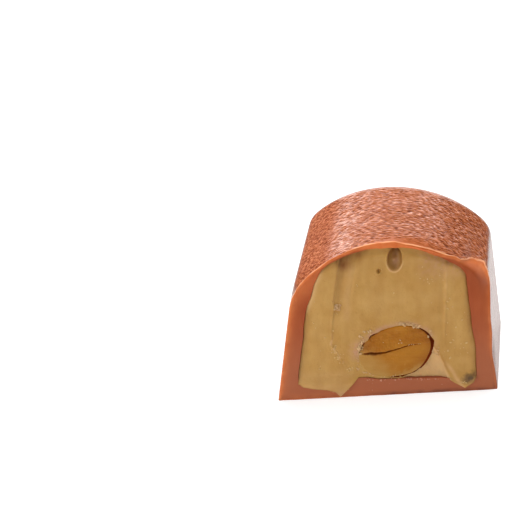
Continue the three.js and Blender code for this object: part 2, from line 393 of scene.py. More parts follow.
for part in np.linspace(0, 1, CUT_RINGS)[1:]:
    edge = cut_start + (hollow - cut_start) * part
    from_edge = part * wall_here
    # Painted glow spreading in from the cut's lit edges.
    glow = np.max([
        thin_wall,
        0.9 * lit_side * np.exp(-from_edge / 0.6),
        0.4 * right_edge * np.exp(-from_edge / 0.5),
        0.65 * shoulder_glow * bell(from_edge, 0.85),
        0.7 * arch_glow,
        left_glow * (0.65 - 0.35 * part),
    ], axis=0)
    depth = shell_cut(*edge.T, CUT_EDGE + from_edge) + lumpy(*edge.T, CUT_STREAKS)
    add_shell_loop(edge, depth, 1, glow)
hollow_front = shell_cut(*hollow.T)
hollow_back = END_FOOT - END_WALL - END_LEAN * hollow[:, 1]
for part in (0.05, 0.15, 0.5, 1.0):
    add_shell_loop(hollow, hollow_front * (1 - part) + hollow_back * part, 1, 0)

shell = skin("praline_shell", shell_loops, shell_marks)
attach(shell, "root")
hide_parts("shell")


def tone(red, green, blue):
    """Screen colour, 0 to 255, as the light values that a material takes."""
    parts = np.array([red, green, blue]) / 255
    return (*np.where(parts > 0.04045, ((parts + 0.055) / 1.055)**2.4, parts / 12.92).tolist(), 1.0)


def set_inputs(finish, node, inputs):
    """Links sockets to, or sets values on, the inputs of a node."""
    for name, value in inputs.items():
        if isinstance(value, bpy.types.NodeSocket):
            finish.node_tree.links.new(value, node.inputs[name])
        else:
            node.inputs[name].default_value = value


def finish_node(finish, kind, inputs, **settings):
    """Adds a node to a finish, with its inputs set or linked."""
    node = finish.node_tree.nodes.new("ShaderNode" + kind)
    for name, value in settings.items():
        setattr(node, name, value)
    set_inputs(finish, node, inputs)
    return node


def shades(finish, factor, *stops):
    """Blends between screen colours, each at a place from 0 to 1 along the factor."""
    node = finish_node(finish, "ValToRGB", {"Fac": factor})
    ramp = node.color_ramp
    while len(ramp.elements) < len(stops):
        ramp.elements.new(1.0)
    for element, (place, shade) in zip(ramp.elements, stops):
        element.position = place
        element.color = tone(*shade)
    return node.outputs["Color"]


def over(finish, factor, below, above):
    """Lays one colour over another where the factor is high."""
    return finish_node(finish, "Mix", {0: factor, 6: below, 7: above}, data_type="RGBA").outputs[2]


def layered(finish, below, *layers):
    """Lays screen colours over one another, each where its factor is high."""
    for factor, shade in layers:
        below = over(finish, factor, below, tone(*shade))
    return below


def speckle(finish, size, detail=3.0, stretch=(1, 1, 1)):
    """Noise in lumps of a size in millimetres, stretched along the axes."""
    scale = tuple(1 / (size * MM * part) for part in stretch)
    place = finish_node(finish, "TexCoord", {})
    mapping = finish_node(finish, "Mapping", {"Vector": place.outputs["Object"], "Scale": scale})
    node = finish_node(finish, "TexNoise", {"Vector": mapping.outputs[0], "Scale": 1.0, "Detail": detail})
    return node.outputs["Fac"]


def mark_of(finish, name, strength=1.0):
    """A mark that the mesh carries at each of its points, at a strength."""
    mark = finish_node(finish, "Attribute", {}, attribute_name=name)
    return times(finish, mark.outputs["Fac"], strength)


def spread(finish, value, low, high, start=0.3, stop=0.7):
    """Spreads a factor over a range."""
    node = finish_node(finish, "MapRange", {
        "Value": value, "From Min": start, "From Max": stop, "To Min": low, "To Max": high})
    return node.outputs["Result"]


def joined(finish, operation, first, second):
    """Two factors brought together by one step of arithmetic."""
    return finish_node(finish, "Math", {0: first, 1: second}, operation=operation).outputs[0]


def times(finish, first, second):
    """Product of two factors."""
    return joined(finish, "MULTIPLY", first, second)


def bumpy(finish, height, strength, distance):
    """Fine bumps of a height factor, over a distance in millimetres."""
    inputs = {"Height": height, "Strength": strength, "Distance": distance * MM}
    return finish_node(finish, "Bump", inputs).outputs[0]


def new_finish(name):
    """Material with a plain surface shader, ready for its nodes."""
    finish = bpy.data.materials.new(name)
    finish.use_nodes = True
    return finish


def feed(finish, **inputs):
    """Links sockets to, or sets values on, a finish's surface shader."""
    shader = finish.node_tree.nodes["Principled BSDF"]
    set_inputs(finish, shader, {name.replace("_", " "): value for name, value in inputs.items()})


chocolate = new_finish("milk_chocolate_finish")
# The crown's grain is painted lighter on its ridges and darker in its grooves.
grained = shades(chocolate, mark_of(chocolate, "ridge"),
                 (0.0, (114, 51, 26)), (0.25, (146, 72, 37)), (0.5, (166, 86, 46)),
                 (0.8, (184, 104, 62)), (1.0, (198, 122, 84)))
polished = shades(chocolate, speckle(chocolate, 4.0), (0.3, (116, 60, 36)), (0.7, (124, 66, 40)))
moulded = over(chocolate, mark_of(chocolate, "crown"), polished, grained)
sliced = shades(chocolate, speckle(chocolate, 1.4, 5.0, (1, 1, 2.5)),
                (0.3, (154, 69, 32)), (0.55, (164, 77, 38)), (0.75, (175, 90, 50)))
sliced = layered(
    chocolate, sliced,
    (mark_of(chocolate, "pink"), (167, 94, 62)),
    # Painted shade at the foot of the cut.
    (mark_of(chocolate, "foot"), (96, 50, 38)))
# Painted glow: the cut's edges and the lip behind the rim are painted a lit orange.
lit_edge = shades(chocolate, speckle(chocolate, 1.2), (0.3, (218, 112, 56)), (0.7, (236, 136, 76)))
cut_mark = mark_of(chocolate, "cut")
skin_tone = over(chocolate, cut_mark, moulded, sliced)
skin_tone = over(chocolate, mark_of(chocolate, "thin", 0.85), skin_tone, lit_edge)
# Painted highlight along the cut's outer edge.
skin_tone = layered(chocolate, skin_tone, (mark_of(chocolate, "line", 0.7), (255, 190, 142)))
uneven_gloss = spread(chocolate, speckle(chocolate, 1.0, 4.0), -0.02, 0.02)
cut_grain = times(chocolate, speckle(chocolate, 0.12, 2.0), cut_mark)
feed(chocolate, Base_Color=skin_tone,
     Roughness=joined(chocolate, "ADD", mark_of(chocolate, "dull"), uneven_gloss),
     Normal=bumpy(chocolate, cut_grain, 0.15, 0.05),
     Subsurface_Weight=0.1, Subsurface_Radius=(1.0, 0.35, 0.15), Subsurface_Scale=0.2 * MM,
     Specular_IOR_Level=0.24, Specular_Tint=(1.0, 0.76, 0.62, 1.0))
shell.data.materials.append(chocolate)

# Filling
# Soft hazelnut cream, piped into the cast shell and set, with two air holes near the crown. The blade
# dragged it down, so it has upright marks, a torn patch beside the nut and two smears pulled over the base.

FILLING_RECESS = 0.11
FILLING_EDGE = 0.08
FILLING_FLOOR_EDGE = 0.04
FILLING_CLEARANCE = 0.02
FILLING_END_GAP = 0.05
FILLING_STEPS = (150, 62, 22, 130)
FACE_RINGS = 110
EVEN_SPOKES = 0.15
SUNK_EDGE = 0.09
SUNK_REACH = 0.4
CREAM_ROUGHNESS = (
    (0.012, (0.5, 7.0, 1.0), 0.9), (0.06, 5.0, 2.2), (0.045, (1.6, 8.0, 1.0), 3.3), (0.03, 1.2, 9.3),
    (0.014, 0.3, 6.1), (0.01, 0.14, 7.7))
UNDER_RIM = (1.4, 0.1)
UNDER_RIM_DEPTH = 0.3
HOLLOW_FALL = 0.032

SMEAR_DEPTH = 0.35
SMEAR_HEIGHT = 0.36
SMEAR_TOP = (3.2, 1.9)
LEFT_SMEAR = (-1.5, -3.5)
RIGHT_SMEAR = (6.0, 8.0)
SMEAR_X = (-10.5, -10.35, -9.95, -8.64, -7.11, -6.17, -5.6, -4.99, -4.28, -3.5,
           7.4, 7.75, 8.3, 9.1, 10.2, 10.45)
SMEAR_Z = (2.45, 2.1, 1.8, 1.47, 1.23, 0.88, 0.2, 0.88, 1.68, 2.7,
           2.25, 1.95, 1.2, 0.55, 1.4, 2.5)
NO_SMEAR = 9.0
DARK_SMEAR = (9.65, 1.95)
DARK_SMEAR_REACH = (1.6, 1.15)

AIR_HOLE = (0.57, 18.38)
AIR_HOLE_REACH = (0.86, 1.42)
AIR_HOLE_DEPTH = 1.5
AIR_HOLE_BLOB = (0.4, 18.19)
AIR_HOLE_BLOB_REACH = (0.2, 0.24)
AIR_HOLE_GLINT = (0.62, 18.0)
AIR_HOLE_GLINT_REACH = (0.42, 0.7)
PIN_HOLE = (-1.24, 17.04)
PIN_HOLE_REACH = (0.25, 0.3)
PIN_HOLE_DEPTH = 0.3

TEAR_Z = (1.8, 5.1, 6.55, 7.3)
TEAR_X = (7.5, 6.15, 5.2, 4.9)
TEAR_SWAY = ((0.08, 0.7, 17.0),)
TEAR_LUMPS = ((0.07, 0.55, 12.0), (0.03, 0.25, 13.0))
TEAR_START = (1.5, 2.3)
TEAR_TOP = (7.9, 7.0)
TEAR_EDGE = (0.1, 0.5)
ROUGH_TEAR_TOP = (7.5, 6.8)

STEP_Z = (2.2, 3.2, 4.55, 6.0, 7.4, 10.0, 12.4, 13.55, 19.5)
STEP_X = (-3.9, -4.4, -5.1, -5.9, -6.7, -6.55, -6.3, -6.4, -5.6)
STEP_HEIGHT = (0.0, 0.0, 0.0, 0.02, 0.06, 0.1, 0.14, 0.18, 0.22)
STEP_SWAY = ((0.1, 2.2, 4.0), (0.04, 0.5, 5.0))
STEP_REACH = 3.5
STEP_DOT = 0.07
TROUGH_DEPTH = 0.12
SCRATCH_FROM_STEP = 1.9
SCRATCH_DEPTH = 0.05
LINE_X = 6.5
LINE_SWAY = ((0.1, 2.0, 8.0),)
LINE_HEIGHT = 0.08
LINE_TROUGH = 0.07

# Soft round spots of painted shade on the cream, under the rim and at the top of the large hole: middle,
# reach and strength.
COCOA_SPOTS = (
    ((-5.0, 18.0), (1.7, 1.2), 0.6), ((-3.45, 18.6), (0.7, 1.1), 0.4), ((6.5, 17.6), (1.1, 0.7), 0.5),
    ((0.5, 19.4), (1.0, 1.1), 0.8))
BLUSH_SPOTS = (((-3.7, 6.4), (1.4, 2.0), 0.8), ((-5.6, 0.5), (1.2, 1.1), 0.64))

KERNEL_MIDDLE = np.array((0.7, 6.0))
KERNEL_HALF = np.array((4.15, 3.55))
KERNEL_SHEAR = 0.2
KERNEL_HALF_DEPTH = 4.4
KERNEL_SETBACK = 0.5
KERNEL_FULLER = 0.36
KERNEL_FULLER_TURN = 5.45
KERNEL_CHIP_TURN = 2.5
KERNEL_TURN_REACH = 0.45
POCKET_CLEARANCE = 0.2
GAP_FIRST_TURN = -2.0
GAP_TURN = (-1.75, -1.5, -1.2, -0.9, -0.3, 0.12, 0.32, 0.5, 1.0, 1.4,
            2.1, 2.25, 2.38, 2.5, 2.62, 2.8, 3.0, 3.2)
GAP_WIDTH = (-0.08, 0.05, 0.16, 0.22, 0.25, 0.32, 0.44, 0.26, 0.12, -0.02,
             -0.03, 0.04, 0.2, 0.14, -0.02, 0.1, 0.1, -0.08)


def gap_beside_nut(angle):
    """Width of the gap between nut and cream; below 0 the cream laps over the nut's edge."""
    turn = np.mod(angle - GAP_FIRST_TURN, 2 * math.pi) + GAP_FIRST_TURN
    return np.interp(turn, GAP_TURN, GAP_WIDTH)


def kernel_outline(angle, grow):
    """Edge of the cut kernel, x and z, grown by an amount."""
    turn = np.mod(angle, 2 * math.pi)
    fuller = KERNEL_FULLER * bell(turn - KERNEL_FULLER_TURN, KERNEL_TURN_REACH)
    chipped = bell(turn - KERNEL_CHIP_TURN, KERNEL_TURN_REACH)
    ring_x, ring_z = 3 * np.cos(angle), 3 * np.sin(angle)
    uneven = (0.05 + 0.08 * chipped) * rough(0.9, ring_x, ring_z, 14.0)
    uneven += 0.12 * chipped * rough(0.35, ring_x, ring_z, 15.0) - 0.08 * chipped
    half_x, half_z = KERNEL_HALF[:, None] + fuller + uneven + grow
    z = half_z * np.sin(angle)
    return KERNEL_MIDDLE + np.column_stack([half_x * np.cos(angle) + KERNEL_SHEAR * z, z])


def share_of(x, z, middle, reach):
    """Distance from a middle, 1 at the reach."""
    return np.hypot((x - middle[0]) / reach[0], (z - middle[1]) / reach[1])


def nut_share(x, z):
    """Distance from the nut's middle, 1 at its edge."""
    return share_of(x - KERNEL_SHEAR * (z - KERNEL_MIDDLE[1]), z, KERNEL_MIDDLE, KERNEL_HALF)


def dip(x, z, middle, reach):
    """Soft round bowl, 1 in its middle and 0 beyond its reach."""
    return (1 - np.minimum(1, share_of(x, z, middle, reach))**2)**2


def spots(x, z, places):
    """Sum of soft round spots."""
    return sum(strength * dip(x, z, middle, reach) for middle, reach, strength in places)


def inside_tear(x, z):
    """Distance to the left of the crease where the torn cream beside the nut starts."""
    return np.interp(z, TEAR_Z, TEAR_X) - x + lumpy(x, z, TEAR_SWAY)


def torn(x, z, edge, top):
    """Where the cream is torn, 0 to 1, with the eased steps at its crease and its top."""
    return smooth(*edge, inside_tear(x, z)) * smooth(*TEAR_START, x) * smooth(*top, z)


def tear_depth(x, z):
    """How deep the cream is torn beside the nut."""
    inside = inside_tear(x, z)
    near_nut = smooth(*TEAR_START, x) * smooth(*TEAR_TOP, z) * (0.5 + 0.5 * smooth(2.1, 4.4, z))
    return (0.2 * smooth(0.0, 0.3, inside) + np.clip(0.18 * inside, 0, 0.35)) * near_nut


def beside_step(x, z):
    """Distance to the right of the step that the blade left in the cream."""
    return x - np.interp(z, STEP_Z, STEP_X) - lumpy(x * 0, z, STEP_SWAY)


def beside_line(x, z):
    """Distance to the right of the raised line that the blade drew down the right of the cream."""
    return x - LINE_X - lumpy(x * 0, z, LINE_SWAY)


def below_crown(x, z):
    """Distance below the underside of the shell's crown."""
    return HOLLOW_CROWN - HOLLOW_FALL * x**2 - z


def up_hole(z):
    """Height in the large air hole, -1 at its bottom and 1 at its top."""
    return (z - AIR_HOLE[1]) / AIR_HOLE_REACH[1]


def step_relief(x, z):
    """Height of the cream along the step: a shelf, its dotted edge, a trough and a scratch."""
    beside = beside_step(x, z)
    shelf = np.interp(z, STEP_Z, STEP_HEIGHT) * smooth(0.1, -0.08, beside)
    shelf = shelf * np.exp(np.minimum(beside, 0) / STEP_REACH)
    dots = STEP_DOT * (0.7 + 0.8 * rough(0.4, x, z, 5.5)) * bell(beside + 0.04, 0.12)
    dots = dots * window(z, 3.8, 5.0, 11.0, 15.0)
    trough = TROUGH_DEPTH * window(beside, 0.0, 0.2, 0.6, 1.3) * smooth(9.0, 15.0, z)
    scratch = SCRATCH_DEPTH * bell(beside - SCRATCH_FROM_STEP, 0.15) * smooth(11.0, 15.0, z)
    return shelf + dots - trough - scratch


def line_relief(x, z):
    """Height of the cream along the raised line on the right, with a trough on its left."""
    beside = beside_line(x, z)
    line = LINE_HEIGHT * bell(beside, 0.16) * window(z, 6.0, 9.0, 16.5, 18.0)
    return line - LINE_TROUGH * bell(beside + 0.45, 0.3) * smooth(8.0, 11.0, z)


def hole_relief(x, z):
    """Height of the cream at its two air holes, with their lips and a blob in the large one."""
    hole = share_of(x, z, AIR_HOLE, AIR_HOLE_REACH)
    pin = share_of(x, z, PIN_HOLE, PIN_HOLE_REACH)
    floor = 0.5 + 0.5 * smooth(-0.6, 0.8, up_hole(z))
    sunk = AIR_HOLE_DEPTH * floor * np.sqrt(np.clip(1 - hole**2, 0, 1))
    sunk += PIN_HOLE_DEPTH * np.sqrt(np.clip(1 - pin**2, 0, 1))
    lips = 0.06 * bell(hole - 1.1, 0.1) + 0.07 * bell(pin - 1.25, 0.25)
    return lips + 0.2 * bell(share_of(x, z, AIR_HOLE_BLOB, AIR_HOLE_BLOB_REACH), 1) - sunk


def cream_face(x, z):
    """How far back the cut cream stands, with its knife marks, holes, tears and smears."""
    relief = lumpy(x, z, CREAM_ROUGHNESS) + step_relief(x, z) + line_relief(x, z) + hole_relief(x, z)
    relief -= UNDER_RIM_DEPTH * smooth(*UNDER_RIM, below_crown(x, z))
    smeared = np.maximum(smooth(*LEFT_SMEAR, x), smooth(*RIGHT_SMEAR, x)) * smooth(*SMEAR_TOP, z)
    relief += SMEAR_HEIGHT * smeared
    relief += torn(x, z, TEAR_EDGE, ROUGH_TEAR_TOP) * lumpy(x, z, TEAR_LUMPS) - tear_depth(x, z)
    return knife(x) + FILLING_RECESS - relief


cream_edge, cream_outward = hollow_outline(FILLING_STEPS)
cream_edge -= FILLING_CLEARANCE * cream_outward
on_wall = np.arange(len(cream_edge)) >= FILLING_STEPS[0]
floor_x, floor_z = cream_edge[~on_wall].T
smear_edge = cream_edge.copy()
smear_edge[~on_wall, 1] = np.minimum(
    floor_z, np.interp(floor_x, SMEAR_X, SMEAR_Z, left=NO_SMEAR, right=NO_SMEAR))
edge_round = np.where(on_wall, FILLING_EDGE, FILLING_FLOOR_EDGE)
sunk_edge = np.where(on_wall, SUNK_EDGE, 0)


def cocoa_stain(x, z, from_rim):
    """How much painted shade the cream has: under the crown, in the large hole, in the trough beside the
    step, at its edges and in the tear's crease, and darker towards the top.
    """
    under_crown = np.maximum(window(x, -6.8, -5.9, -3.0, -2.2), window(x, 4.6, 5.6, 7.0, 8.0))
    stain = 0.55 * smooth(1.4, 0.2, below_crown(x, z)) * under_crown + 0.1 * smooth(15.5, 18.5, z)
    hole_side = 0.75 + 0.3 * up_hole(z) - 0.2 * (x - AIR_HOLE[0]) / AIR_HOLE_REACH[0]
    stain += hole_side * window(share_of(x, z, AIR_HOLE, AIR_HOLE_REACH), 0.3, 0.85, 0.96, 1.06)
    stain += 0.42 * bell(beside_step(x, z) - 0.55, 0.5) * smooth(10.0, 17.0, z)
    stain += spots(x, z, COCOA_SPOTS)
    side = np.where(x > 0, 0.45, 0.4 * smooth(13.0, 11.0, z)) * smooth(6.5, 8.5, np.abs(x))
    stain += on_wall * side * bell(from_rim, 0.48)
    stain += ~on_wall * 0.8 * bell(from_rim, np.where(x < 0, 0.1, 0.07))
    stain += 0.4 * bell(inside_tear(x, z), 0.16) * window(z, 2.2, 3.2, 6.6, 7.4)
    return np.clip(stain, 0, 1)


def pale_cream(x, z, from_rim):
    """How pale the cream is in the tear and along the blade's marks, with painted highlights on the step's
    ridge and the large hole's lower lip.
    """
    beside = beside_step(x, z)
    tear = torn(x, z, (0.0, 0.4), TEAR_TOP)
    # Painted highlights on the large hole's lower lip and on the step's dotted ridge.
    lip = bell(share_of(x, z, AIR_HOLE, AIR_HOLE_REACH) - 1.1, 0.08) * smooth(0.1, -0.6, up_hole(z))
    ridge = bell(beside + 0.02, 0.15) * window(z, 4.0, 4.8, 7.5, 9.5)
    ridge *= np.clip(0.3 + 2.0 * rough(0.3, x, z, 5.5), 0, 1)
    streak = bell(x - 7.1 - 0.6 * (3.6 - z), 0.26) * smooth(4.6, 3.0, z)
    left_smear = on_wall * bell(from_rim, 0.4) * smooth(-7.2, -8.0, x) * smooth(11.5, 12.8, z)
    drawn_line = bell(beside_line(x, z), 0.14) * window(z, 9.0, 11.0, 16.0, 17.5)
    drawn_line *= np.clip(0.5 + 0.9 * rough(0.8, x * 0, z, 35.0), 0, 1)
    band = bell(beside - 1.5, 0.5) * window(z, 9.5, 12.0, 17.0, 18.5)
    low_left = smooth(4.5, 2.5, z) * smooth(-3.5, -5.0, x)
    pale = 0.7 * (tear + lip + ridge) + 0.55 * streak + 0.5 * left_smear + 0.45 * drawn_line
    return np.clip(pale + 0.22 * (band + low_left), 0, 1)


def nut_blush(x, z):
    """How rosy the cream is round the nut, in two spots and high on the right, with a painted highlight in
    the large hole.
    """
    halo = bell(nut_share(x, z) - 1.06, 0.09) * smooth(5.0, 6.5, z)
    # Painted highlight inside the large hole.
    glint = bell(share_of(x, z, AIR_HOLE_GLINT, AIR_HOLE_GLINT_REACH), 1)
    high_right = 0.45 * smooth(14.5, 17.5, z) * smooth(2.5, 4.5, x)
    return np.clip(halo + spots(x, z, BLUSH_SPOTS) + glint + high_right, 0, 1)


def dark_smear(x, z):
    """How dark the painted shadow at the low right is, with a ragged edge."""
    ragged_x = x + 0.3 * rough(0.5, x, z, 33.0)
    ragged_z = z + 0.3 * rough(0.4, x, z, 34.0) - 0.15 * (x - DARK_SMEAR[0])
    return dip(ragged_x, ragged_z, DARK_SMEAR, DARK_SMEAR_REACH)


cream_loops = []
cream_marks = {}


def add_cream_loop(edge, depth, from_rim=0, pocket=0):
    """Adds a loop to the filling, with marks for its colours."""
    x, z = edge.T
    cream_loops.append(loop(edge, depth))
    add_marks(cream_marks, len(edge), cocoa=cocoa_stain(x, z, from_rim), pale=pale_cream(x, z, from_rim),
              blush=nut_blush(x, z), dark=dark_smear(x, z), pocket=pocket)


cream_front = cream_face(*smear_edge.T) + sunk_edge
side_start = cream_front + edge_round
add_cream_loop(cream_edge, END_FOOT - END_WALL - FILLING_END_GAP - END_LEAN * cream_edge[:, 1])
for depth in (6.0, 2.0, 0.8):
    add_cream_loop(cream_edge, np.maximum(knife(cream_edge[:, 0]) + depth, side_start + 0.1))
smear_back = knife(smear_edge[:, 0]) + SMEAR_DEPTH + FILLING_EDGE
add_cream_loop(smear_edge, np.maximum(smear_back, side_start + 0.02))
for angle in (0.0, 0.4, 0.8, 1.2):
    drawn = smear_edge - cream_outward * (edge_round * (1 - math.cos(angle)))[:, None]
    add_cream_loop(drawn, cream_front + edge_round * (1 - math.sin(angle)))
cream_rim = smear_edge - cream_outward * edge_round[:, None]

to_rim_x, to_rim_z = (cream_rim - KERNEL_MIDDLE).T
raw = np.unwrap(np.arctan2(to_rim_z, to_rim_x))
even = raw[0] + 2 * math.pi * np.arange(len(raw)) / len(raw)
rising = (np.maximum.accumulate(raw) + np.minimum.accumulate(raw[::-1])[::-1]) / 2
bearing = (1 - EVEN_SPOKES) * rising + EVEN_SPOKES * even
pocket = kernel_outline(bearing, gap_beside_nut(bearing))
pocket_front = cream_face(*pocket.T)
gap_open = smooth(0.0, 0.1, gap_beside_nut(bearing))
for part in np.linspace(0, 1, FACE_RINGS):
    edge = cream_rim + (pocket - cream_rim) * part
    from_rim = np.linalg.norm(edge - cream_rim, axis=1)
    depth = cream_face(*edge.T) + sunk_edge * np.exp(-from_rim / SUNK_REACH)
    add_cream_loop(edge, depth, from_rim, 0.5 * gap_open * (part == 1))
for depth in (0.3, 0.6, 1.2, 2.2, 3.4, 4.5):
    bowl_share = max(0, depth - KERNEL_SETBACK) / (KERNEL_HALF_DEPTH + POCKET_CLEARANCE)
    edge = KERNEL_MIDDLE + (pocket - KERNEL_MIDDLE) * math.sqrt(1 - bowl_share**2)
    bowl_depth = knife(edge[:, 0]) + FILLING_RECESS + depth
    add_cream_loop(edge, np.maximum(bowl_depth, pocket_front + 0.1), from_rim, gap_open)

filling = skin("hazelnut_filling", cream_loops, cream_marks)
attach(filling, "root")
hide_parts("filling")

cream = new_finish("hazelnut_cream_finish")
cream_tone = shades(cream, speckle(cream, 3.2, 4.0), (0.3, (180, 131, 58)), (0.7, (197, 152, 83)))
waxy = shades(cream, speckle(cream, 1.1, 2.0, (1, 1, 1.6)), (0.35, (164, 118, 58)), (0.65, (206, 162, 96)))
cream_tone = over(cream, 0.2, cream_tone, waxy)
drag = shades(cream, speckle(cream, 1.3, 3.0, (1, 1, 8)), (0.35, (162, 114, 54)), (0.65, (204, 160, 90)))
cream_tone = over(cream, 0.16, cream_tone, drag)
meal = spread(cream, speckle(cream, 0.22, 2.0), 0.0, 0.3, 0.62, 0.75)
streaky = spread(cream, speckle(cream, 0.7, 4.0, (1, 1, 3)), 0.5, 1.0)
dusty = spread(cream, speckle(cream, 0.5, 4.0), 0.1, 1.0)
dark_ragged = spread(cream, speckle(cream, 0.35, 4.0), -0.18, 0.18)
dark_patch = spread(cream, joined(cream, "ADD", mark_of(cream, "dark"), dark_ragged), 0.0, 0.8, 0.1, 0.95)
dark_limit = spread(cream, mark_of(cream, "dark"), 0.0, 1.0, 0.02, 0.2)
cream_tone = layered(
    cream, cream_tone,
    (meal, (150, 96, 46)),
    # Painted shade, brown and streaky.
    (times(cream, mark_of(cream, "cocoa"), streaky), (122, 68, 20)),
    (times(cream, mark_of(cream, "blush"), dusty), (190, 140, 110)),
    (mark_of(cream, "pale"), (216, 172, 120)),
    # Painted shadow at the low right.
    (times(cream, dark_patch, dark_limit), (46, 26, 30)),
    (mark_of(cream, "pocket"), (160, 60, 6)))
cream_dullness = spread(cream, speckle(cream, 0.8, 4.0), 0.42, 0.62)
feed(cream, Base_Color=cream_tone,
     Roughness=joined(cream, "MAXIMUM", cream_dullness, mark_of(cream, "pocket")),
     Normal=bumpy(cream, speckle(cream, 0.18), 0.25, 0.06),
     Subsurface_Weight=0.2, Subsurface_Radius=(1.0, 0.5, 0.2), Subsurface_Scale=1.0 * MM,
     Specular_IOR_Level=0.35, Specular_Tint=(1.0, 0.9, 0.74, 1.0))
filling.data.materials.append(cream)

# Nut
# A roasted hazelnut kernel without its skin, set in the cream before it stiffened. The blade halved it
# across its two seed leaves, and the split between them opens towards the left.

KERNEL_SPOKES = 300
KERNEL_RINGS = 96
KERNEL_EDGE = 0.15
KERNEL_EDGE_SHARE = KERNEL_EDGE / KERNEL_HALF[1]
KERNEL_RECESS = 0.16
KERNEL_DOME = 0.12
KERNEL_CRUMBLE = ((0.045, 0.55, 22.0), (0.03, 0.22, 23.0))
KERNEL_FIBRES = ((0.02, (1.6, 0.3, 1.0), 24.0),)
UPPER_LEAF_STEP = 0.07
SPLIT_X = (-3.6, -2.62, -1.59, -0.6, 0.15, 1.19, 2.23, 3.72, 5.0)
SPLIT_Z = (5.95, 5.81, 5.73, 5.86, 6.08, 6.38, 6.76, 6.93, 7.0)
SPLIT_SPAN = (-3.2, -2.7, -2.0, -1.2, -0.5, 0.6, 2.0, 2.4, 3.6, 4.0)
SPLIT_OPEN = (0.04, 0.3, 0.46, 0.4, 0.2, 0.12, 0.08, 0.05, 0.04, 0.02)
SPLIT_DEPTH = (0.05, 0.22, 0.32, 0.32, 0.3, 0.28, 0.25, 0.12, 0.06, 0.0)
SPLIT_SWAY = ((0.05, 0.6, 21.0),)
SPLIT_RAGS = ((0.03, 0.25, 25.0),)
SPLIT_LINE_X = (-2.6, -1.8, -0.8, 0.0, 1.0)
SPLIT_LINE_WIDTH = (0.12, 0.21, 0.1, 0.13, 0.08)
SPLIT_BREAKS_FROM = 2.2
RIND_SETBACK = 0.4
RIND_OVERLAP = 0.1
LAPPED_RISE = 0.09


def split_of(x, z):
    """Height above the split's lower lip, and how wide the upper leaf slopes into it there."""
    line = np.interp(x, SPLIT_X, SPLIT_Z) + lumpy(x, x * 0, SPLIT_SWAY) + lumpy(x, z, SPLIT_RAGS)
    return z - line, np.interp(x, SPLIT_SPAN, SPLIT_OPEN)


def split_slope(x, z):
    """How far the upper leaf has sloped into the split, 1 at the bottom."""
    above, wide = split_of(x, z)
    return np.clip(1 - above / wide, 0, 1) * (above > 0)


def split_line(x, z):
    """The dark bottom of the split, 0 to 1; it breaks up towards the right."""
    above, _ = split_of(x, z)
    broken = np.where(x > SPLIT_BREAKS_FROM, 0.6 + 0.9 * rough(0.35, x, x * 0, 27.0), 1)
    width = np.interp(x, SPLIT_LINE_X, SPLIT_LINE_WIDTH) * (1 + 0.5 * rough(0.35, x, x * 0, 29.0))
    return bell(above - 0.4 * width, width) * window(x, -3.2, -2.8, 2.6, 4.0) * np.clip(broken, 0, 1)


def kernel_face(x, z):
    """How far back the cut kernel stands."""
    above, _ = split_of(x, z)
    dome = KERNEL_DOME * (1 - share_of(x, z, KERNEL_MIDDLE, KERNEL_HALF)**2)
    upper = smooth(-0.1, 0.3, above)
    relief = dome + upper * lumpy(x, z, KERNEL_CRUMBLE) + lumpy(x, z, KERNEL_FIBRES)
    relief += UPPER_LEAF_STEP * upper * smooth(-3.6, -1.0, x)
    into_split = np.where(above > 0, split_slope(x, z), smooth(-0.07, 0.0, above))
    return knife(x) + KERNEL_RECESS - relief + into_split * np.interp(x, SPLIT_SPAN, SPLIT_DEPTH)


kernel_loops = []
kernel_marks = {}


def add_kernel_loop(outline, depth, at_edge, rind):
    """Adds a loop to the nut, with marks for its colours."""
    x, z = outline.T
    above, wide = split_of(x, z)
    leftwards, downwards = (KERNEL_MIDDLE - outline).T / KERNEL_HALF[:, None]
    low_left = smooth(0.2, 1.0, 0.75 * leftwards + 0.65 * downwards + 0.15 * rough(0.8, x, z, 30.0))
    bottom = smooth(0.8, 1.0, nut_share(x, z) + 0.1 * rough(0.4, x, z, 31.0)) * smooth(4.6, 3.4, z)
    kernel_loops.append(loop(outline, depth))
    add_marks(kernel_marks, len(outline), edge=at_edge, rind=rind, split=split_line(x, z),
              slope=split_slope(x, z) * smooth(0.06, 0.25, wide),
              smear=np.maximum(low_left, 0.8 * bottom), lower=smooth(0.0, -0.5, above))


spokes = 2 * math.pi * np.arange(KERNEL_SPOKES) / KERNEL_SPOKES
kernel_edge = kernel_outline(spokes, 0)
rind_edge = kernel_outline(spokes, np.maximum(gap_beside_nut(spokes), 0) + RIND_OVERLAP)
edge_open = smooth(-0.04, 0.1, gap_beside_nut(spokes))


def kernel_ring(reach):
    """Outline of the kernel drawn in towards its middle, 1 at its edge."""
    return KERNEL_MIDDLE + (kernel_edge - KERNEL_MIDDLE) * reach


